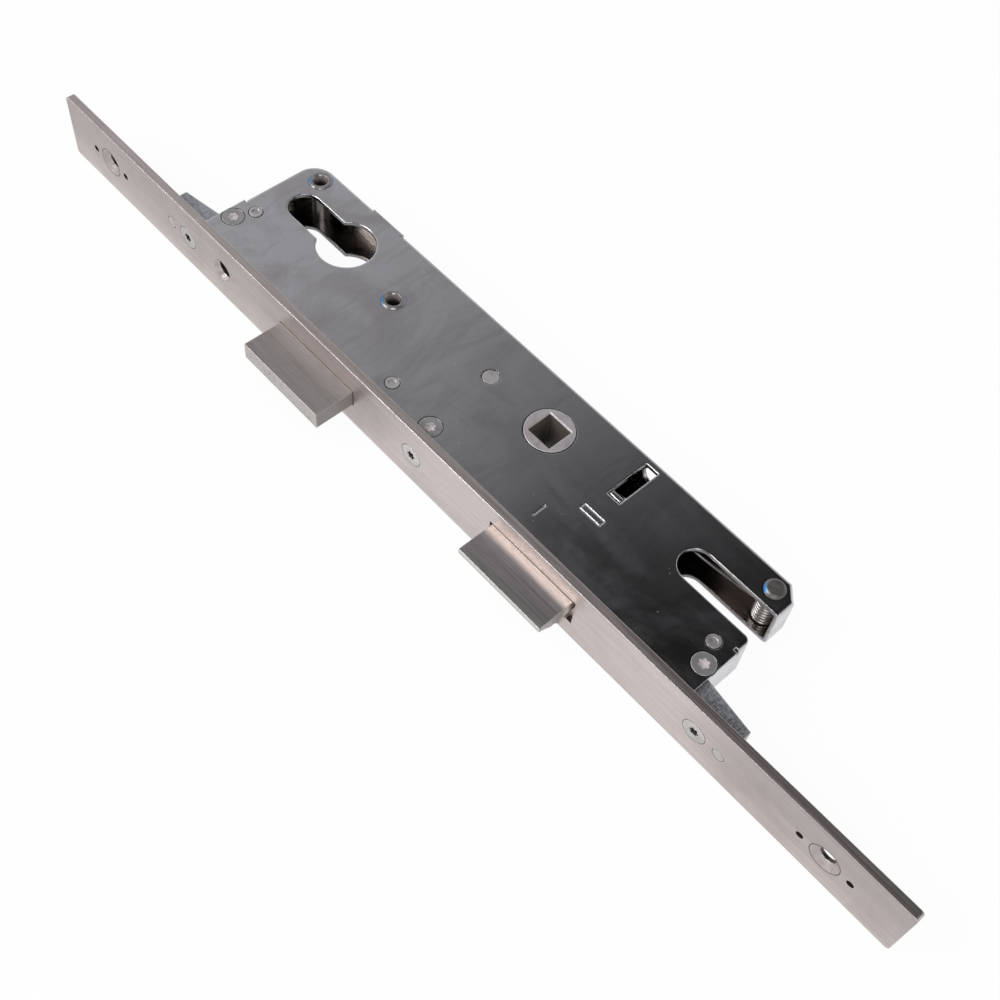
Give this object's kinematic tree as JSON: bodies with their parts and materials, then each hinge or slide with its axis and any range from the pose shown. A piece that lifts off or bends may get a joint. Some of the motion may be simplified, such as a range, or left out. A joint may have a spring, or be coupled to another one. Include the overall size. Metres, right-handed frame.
{
  "type": "mortise lock case",
  "caption": "Mortise lock case with a long flat faceplate, a rectangular dead bolt, a bevelled latch bolt, a square spindle hub and a profile cylinder cut-out.",
  "frame": {"origin": "middle between the two fixing holes, on the front face of the faceplate", "axes": "+X along the faceplate from the cylinder end to the latch end, +Y from the faceplate into the case, +Z through the thickness of the case towards the cover"},
  "size_m": [0.328, 0.0577, 0.022],
  "materials": {
    "satin_steel": "satin, brushed along its length",
    "polished_sheet": "polished zinc-plated sheet with fine scratches",
    "die_cast_zinc": "blasted die casting, speckled, worn bright on its edges",
    "nickel_plated": "bright nickel plate",
    "zinc_plated": "bluish zinc plate",
    "bolt_steel": "ground steel with bright edges",
    "spring_wire": "drawn spring wire",
    "sintered_steel": "matt sintered steel"
  },
  "bodies": {
    "case": {"faceplate": "satin_steel", "rear_shell": "polished_sheet", "front_cover": "polished_sheet", "lower_lug": "die_cast_zinc", "upper_lug": "die_cast_zinc", "centre_block": "die_cast_zinc", "faceplate_screws": "nickel_plated", "cover_screws": "nickel_plated", "lug_pins": "nickel_plated", "case_pins": "nickel_plated", "tubular_rivets": "zinc_plated", "spring_post": "nickel_plated", "guide_pin": "zinc_plated", "detent_spring": "spring_wire", "spring_plate": "polished_sheet", "return_spring": "spring_wire", "latch_spring": "spring_wire"},
    "hub": {"hub": "sintered_steel"},
    "latch_bolt": {"latch_head": "bolt_steel", "latch_rod": "nickel_plated", "rod_plate": "polished_sheet"},
    "dead_bolt": {"deadbolt_head": "bolt_steel", "deadbolt_slide": "polished_sheet", "deadbolt_rivets": "nickel_plated"}
  },
  "joints": [
    {"name": "hub_turn", "type": "hinge", "parent": "case", "child": "hub", "pos_m": [0.018, 0.03, 0], "axis": [0, 0, 1], "range_deg": [0, 24.7], "deforming": ["return_spring"]},
    {"name": "latch_slide", "type": "slide", "parent": "case", "child": "latch_bolt", "axis": [0, 1, 0], "range_m": [0, 0.0113], "stiffness_N_per_m": 1400, "springref_m": -0.012, "deforming": ["latch_spring"]},
    {"name": "deadbolt_slide", "type": "slide", "parent": "case", "child": "dead_bolt", "axis": [0, 1, 0], "range_m": [0, 0.0125], "deforming": ["detent_spring"]}
  ],
  "couplings": [
    {"joint": "hub_turn", "follows": "latch_slide", "rad_per_m": 38.02}
  ]
}
